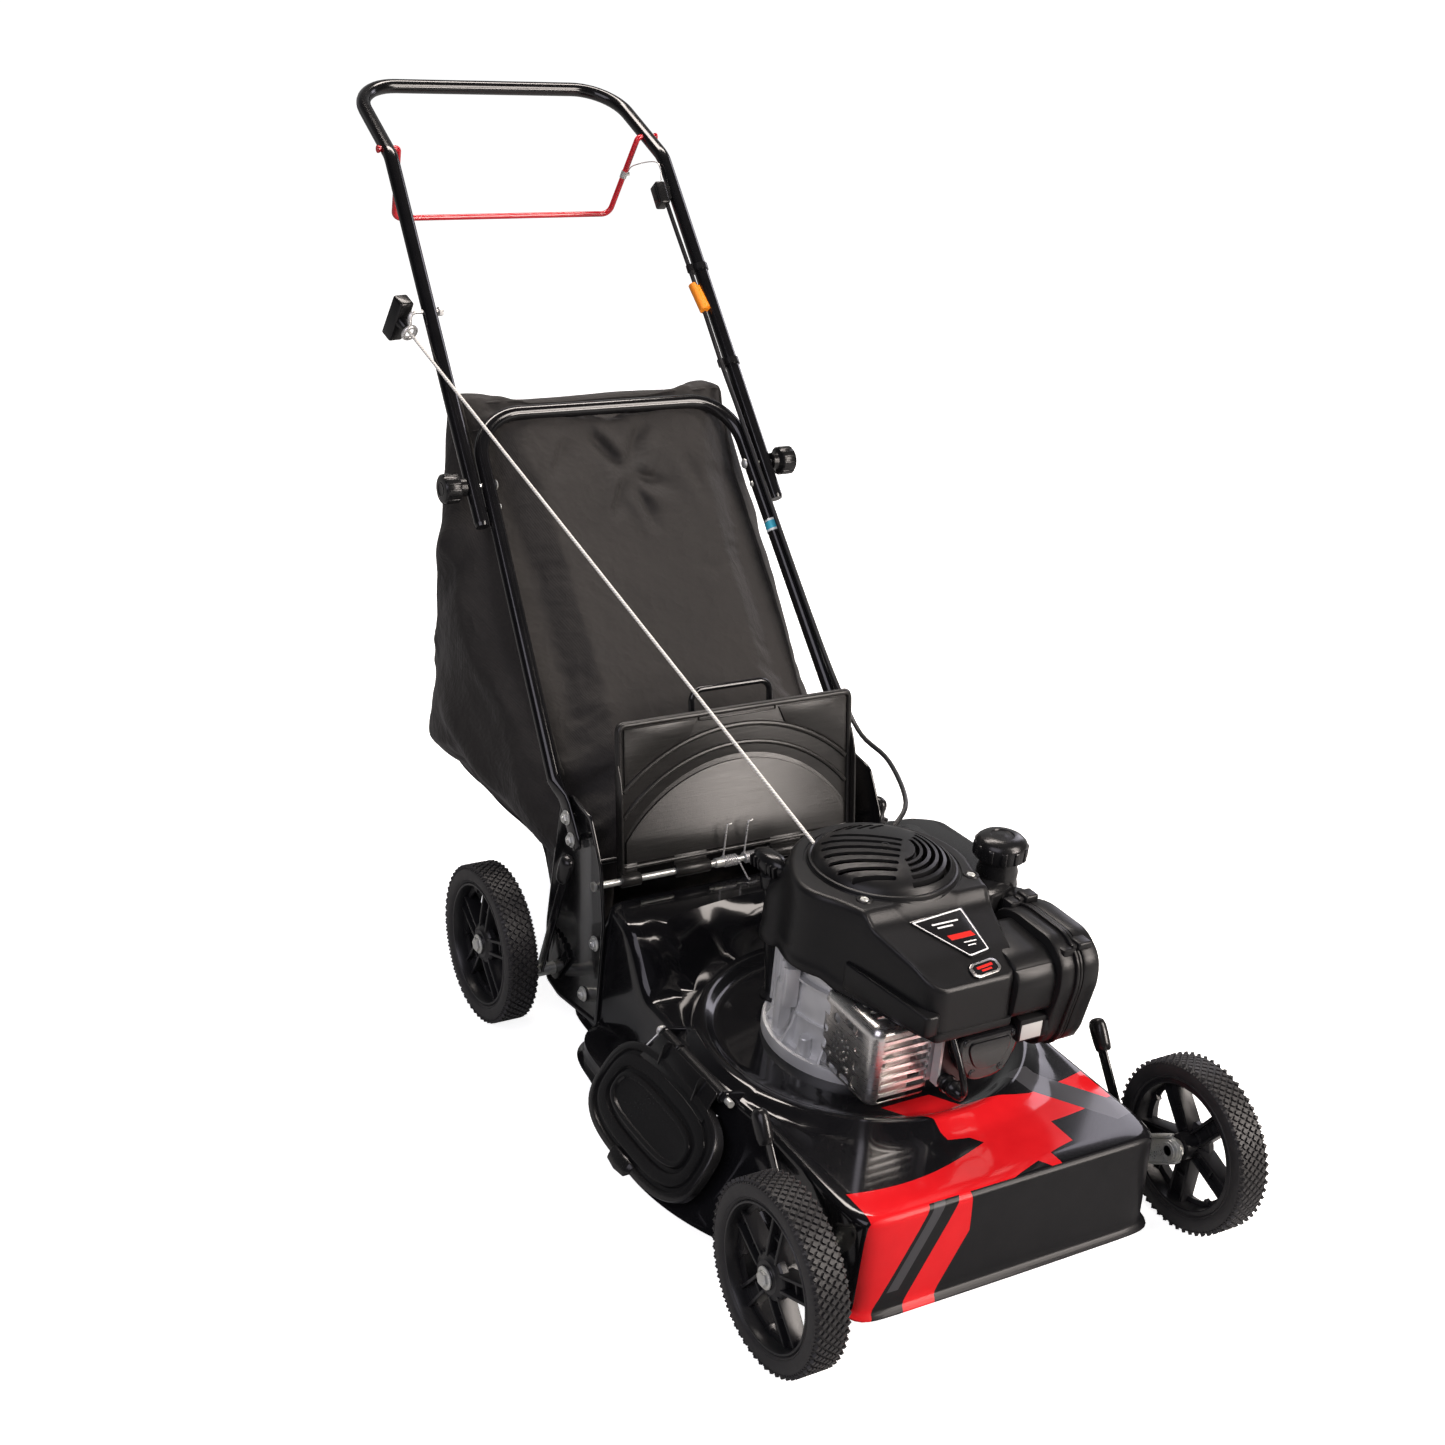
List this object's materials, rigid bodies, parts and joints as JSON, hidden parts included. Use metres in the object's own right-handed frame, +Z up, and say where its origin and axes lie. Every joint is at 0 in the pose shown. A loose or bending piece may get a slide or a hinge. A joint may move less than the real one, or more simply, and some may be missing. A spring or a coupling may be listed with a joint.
{
  "type": "push lawn mower",
  "caption": "Walk-behind petrol lawn mower with a pressed deck, vertical-shaft engine, folding tubular handle, rear grass bag and side chute.",
  "frame": {"origin": "on the ground under the middle of the overall box", "axes": "+Z up, the front faces -Y, +X is the operator's left"},
  "size_m": [0.5866, 1.5143, 1.0332],
  "materials": {
    "deck_paint": "gloss",
    "frame_paint": "gloss",
    "zinc": "satin",
    "cast_metal": "satin",
    "guard_metal": "satin",
    "blade_steel": "satin",
    "engine_plastic": "satin",
    "body_plastic": "satin",
    "hub_plastic": "satin",
    "tyre_rubber": "matte",
    "cable_sheath": "satin",
    "ceramic": "gloss",
    "filter_foam": "matte",
    "rope_fibre": "matte",
    "bail_paint": "gloss",
    "bag_cloth": "matte"
  },
  "bodies": {
    "mower": {"deck_shell": "deck_paint", "handle_brackets": "frame_paint", "height_plates": "frame_paint", "deck_fasteners": "zinc", "hinge_rods": "zinc", "hinge_springs": "zinc", "lower_handle": "frame_paint", "handle_bolts": "zinc", "crankcase": "cast_metal", "engine_cylinder": "cast_metal", "valve_cover": "guard_metal", "muffler": "guard_metal", "muffler_guard": "guard_metal", "spark_plug": "ceramic", "plug_boot": "cable_sheath", "engine_shroud": "engine_plastic", "recoil_grille": "engine_plastic", "fuel_tank": "engine_plastic", "air_filter_base": "engine_plastic", "air_filter_element": "filter_foam", "carburettor": "cast_metal", "oil_fill_tube": "engine_plastic", "starter_rope": "rope_fibre", "brake_cable_lower": "cable_sheath"},
    "upper_handle_body": {"upper_handle": "frame_paint", "rope_guide": "zinc", "cable_bracket": "body_plastic", "brake_cable_upper": "cable_sheath", "bail_wire": "zinc"},
    "bail_body": {"stop_bail": "bail_paint"},
    "knob_right_body": {"knob_right": "body_plastic"},
    "knob_left_body": {"knob_left": "body_plastic"},
    "grip_body": {"starter_grip": "body_plastic"},
    "pulley_body": {"recoil_pulley": "body_plastic"},
    "crank_body": {"crankshaft": "blade_steel", "flywheel": "cast_metal", "blade_adapter": "blade_steel", "blade": "blade_steel", "blade_bolt": "zinc"},
    "cap_body": {"fuel_cap": "engine_plastic"},
    "dipstick_body": {"dipstick": "engine_plastic"},
    "filter_cover_body": {"air_filter_cover": "engine_plastic"},
    "door_body": {"rear_door": "body_plastic"},
    "deflector_body": {"chute_deflector": "body_plastic"},
    "bag_body": {"grass_bag": "bag_cloth", "bag_frame": "frame_paint"},
    "arm_front_right": {"height_arm_front_right": "frame_paint"},
    "wheel_front_right": {"tyre_front_right": "tyre_rubber", "hub_front_right": "hub_plastic"},
    "arm_front_left": {"height_arm_front_left": "frame_paint"},
    "wheel_front_left": {"tyre_front_left": "tyre_rubber", "hub_front_left": "hub_plastic"},
    "arm_rear_right": {"height_arm_rear_right": "frame_paint"},
    "wheel_rear_right": {"tyre_rear_right": "tyre_rubber", "hub_rear_right": "hub_plastic"},
    "arm_rear_left": {"height_arm_rear_left": "frame_paint"},
    "wheel_rear_left": {"tyre_rear_left": "tyre_rubber", "hub_rear_left": "hub_plastic"}
  },
  "joints": [
    {"name": "handle_fold", "type": "hinge", "parent": "mower", "child": "upper_handle_body", "pos_m": [0, 0.26654, 0.61171], "axis": [1, 0, 0], "range_deg": [0, 150], "deforming": ["starter_rope", "brake_cable_upper", "brake_cable_lower"]},
    {"name": "stop_bail_hinge", "type": "hinge", "parent": "upper_handle_body", "child": "bail_body", "pos_m": [-0.202, 0.60263, 0.96509], "axis": [0.9968, 0.074, 0.0299], "range_deg": [0, 72], "stiffness_Nm_per_rad": 0.6, "deforming": ["bail_wire"]},
    {"name": "knob_right_turn", "type": "hinge", "parent": "mower", "child": "knob_right_body", "pos_m": [-0.23, 0.26654, 0.61171], "axis": [1, 0, 0], "continuous": true},
    {"name": "knob_left_turn", "type": "hinge", "parent": "mower", "child": "knob_left_body", "pos_m": [0.23, 0.26654, 0.61171], "axis": [1, 0, 0], "continuous": true},
    {"name": "starter_pull", "type": "slide", "parent": "upper_handle_body", "child": "grip_body", "axis": [-0.1913, 0.8806, 0.4336], "range_m": [0, 0.45], "stiffness_N_per_m": 4, "springref_m": -0.25},
    {"name": "pulley_spin", "type": "hinge", "parent": "mower", "child": "pulley_body", "pos_m": [0, -0.38363, 0.378], "axis": [0, 0, 1], "range_deg": [0, 870]},
    {"name": "crank_spin", "type": "hinge", "parent": "mower", "child": "crank_body", "pos_m": [0, -0.38363, 0.06], "axis": [0, 0, 1], "continuous": true},
    {"name": "fuel_cap_turn", "type": "hinge", "parent": "mower", "child": "cap_body", "pos_m": [0.155, -0.39563, 0.35], "axis": [0, 0, 1], "range_deg": [0, 180]},
    {"name": "dipstick_lift", "type": "slide", "parent": "mower", "child": "dipstick_body", "axis": [-0.1429, -0.022, 0.9895], "range_m": [0, 0.145]},
    {"name": "filter_cover_slide", "type": "slide", "parent": "mower", "child": "filter_cover_body", "axis": [1, 0, 0], "range_m": [0, 0.045]},
    {"name": "bag_slide", "type": "slide", "parent": "mower", "child": "bag_body", "axis": [0, 1, 0], "range_m": [0, 0.45]},
    {"name": "rear_door_hinge", "type": "hinge", "parent": "mower", "child": "door_body", "pos_m": [0, -0.09963, 0.231], "axis": [1, 0, 0], "range_deg": [-150, 0]},
    {"name": "deflector_hinge", "type": "hinge", "parent": "mower", "child": "deflector_body", "pos_m": [-0.211, -0.37363, 0.15], "axis": [0, 1, 0], "range_deg": [0, 70], "stiffness_Nm_per_rad": 0.3, "springref_deg": -17.19},
    {"name": "height_front_right", "type": "hinge", "parent": "mower", "child": "arm_front_right", "pos_m": [-0.22, -0.61413, 0.072], "axis": [1, 0, 0], "range_deg": [-12, 12]},
    {"name": "roll_front_right", "type": "hinge", "parent": "arm_front_right", "child": "wheel_front_right", "pos_m": [-0.2715, -0.65713, 0.1], "axis": [1, 0, 0], "continuous": true},
    {"name": "height_front_left", "type": "hinge", "parent": "mower", "child": "arm_front_left", "pos_m": [0.22, -0.61413, 0.072], "axis": [1, 0, 0], "range_deg": [-12, 12]},
    {"name": "roll_front_left", "type": "hinge", "parent": "arm_front_left", "child": "wheel_front_left", "pos_m": [0.2715, -0.65713, 0.1], "axis": [1, 0, 0], "continuous": true},
    {"name": "height_rear_right", "type": "hinge", "parent": "mower", "child": "arm_rear_right", "pos_m": [-0.22, -0.01313, 0.072], "axis": [1, 0, 0], "range_deg": [-12, 12]},
    {"name": "roll_rear_right", "type": "hinge", "parent": "arm_rear_right", "child": "wheel_rear_right", "pos_m": [-0.2715, 0.02987, 0.1], "axis": [1, 0, 0], "continuous": true},
    {"name": "height_rear_left", "type": "hinge", "parent": "mower", "child": "arm_rear_left", "pos_m": [0.22, -0.01313, 0.072], "axis": [1, 0, 0], "range_deg": [-12, 12]},
    {"name": "roll_rear_left", "type": "hinge", "parent": "arm_rear_left", "child": "wheel_rear_left", "pos_m": [0.2715, 0.02987, 0.1], "axis": [1, 0, 0], "continuous": true}
  ],
  "couplings": [
    {"joint": "rear_door_hinge", "follows": "bag_slide", "rad_per_m": -5.8},
    {"joint": "pulley_spin", "follows": "starter_pull", "rad_per_m": 33.3}
  ]
}
